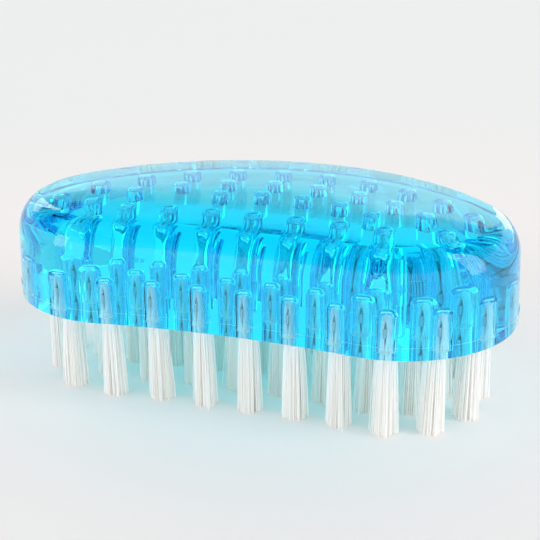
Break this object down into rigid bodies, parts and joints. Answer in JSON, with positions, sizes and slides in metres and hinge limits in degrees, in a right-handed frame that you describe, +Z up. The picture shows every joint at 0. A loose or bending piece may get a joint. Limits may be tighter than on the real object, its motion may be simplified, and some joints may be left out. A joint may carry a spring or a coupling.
{
  "type": "nail brush",
  "caption": "Bean-shaped clear hand grip with tufts of stiff bristle anchored in blind holes in its flat underside.",
  "frame": {"origin": "middle of the bounding box, in the plane of the trimmed bristle tips", "axes": "+X along the length, +Y towards the rounded back edge, +Z up from the tips to the crown"},
  "size_m": [0.092, 0.054, 0.0346],
  "materials": {
    "clear_acrylic": "clear blue, polished",
    "nylon_bristle": "satin",
    "anchor_steel": "dull"
  },
  "bodies": {
    "root": {"handle": "clear_acrylic", "tuft_outer_1": "nylon_bristle", "tuft_outer_2": "nylon_bristle", "tuft_outer_3": "nylon_bristle", "tuft_outer_4": "nylon_bristle", "tuft_outer_5": "nylon_bristle", "tuft_outer_6": "nylon_bristle", "tuft_outer_7": "nylon_bristle", "tuft_outer_8": "nylon_bristle", "tuft_outer_9": "nylon_bristle", "tuft_outer_10": "nylon_bristle", "tuft_outer_11": "nylon_bristle", "tuft_outer_12": "nylon_bristle", "tuft_outer_13": "nylon_bristle", "tuft_outer_14": "nylon_bristle", "tuft_outer_15": "nylon_bristle", "tuft_outer_16": "nylon_bristle", "tuft_outer_17": "nylon_bristle", "tuft_outer_18": "nylon_bristle", "tuft_outer_19": "nylon_bristle", "tuft_outer_20": "nylon_bristle", "tuft_outer_21": "nylon_bristle", "tuft_outer_22": "nylon_bristle", "tuft_outer_23": "nylon_bristle", "tuft_middle_1": "nylon_bristle", "tuft_middle_2": "nylon_bristle", "tuft_middle_3": "nylon_bristle", "tuft_middle_4": "nylon_bristle", "tuft_middle_5": "nylon_bristle", "tuft_middle_6": "nylon_bristle", "tuft_middle_7": "nylon_bristle", "tuft_middle_8": "nylon_bristle", "tuft_middle_9": "nylon_bristle", "tuft_middle_10": "nylon_bristle", "tuft_middle_11": "nylon_bristle", "tuft_middle_12": "nylon_bristle", "tuft_middle_13": "nylon_bristle", "tuft_middle_14": "nylon_bristle", "tuft_middle_15": "nylon_bristle", "tuft_middle_16": "nylon_bristle", "tuft_middle_17": "nylon_bristle", "tuft_middle_18": "nylon_bristle", "tuft_inner_front_1": "nylon_bristle", "tuft_inner_front_2": "nylon_bristle", "tuft_inner_front_3": "nylon_bristle", "tuft_inner_front_4": "nylon_bristle", "tuft_inner_front_5": "nylon_bristle", "tuft_inner_front_6": "nylon_bristle", "tuft_inner_front_7": "nylon_bristle", "tuft_inner_back_1": "nylon_bristle", "tuft_inner_back_2": "nylon_bristle", "tuft_inner_back_3": "nylon_bristle", "tuft_inner_back_4": "nylon_bristle", "tuft_inner_back_5": "nylon_bristle", "anchors_outer": "anchor_steel", "anchors_middle": "anchor_steel", "anchors_inner": "anchor_steel"}
  },
  "joints": []
}
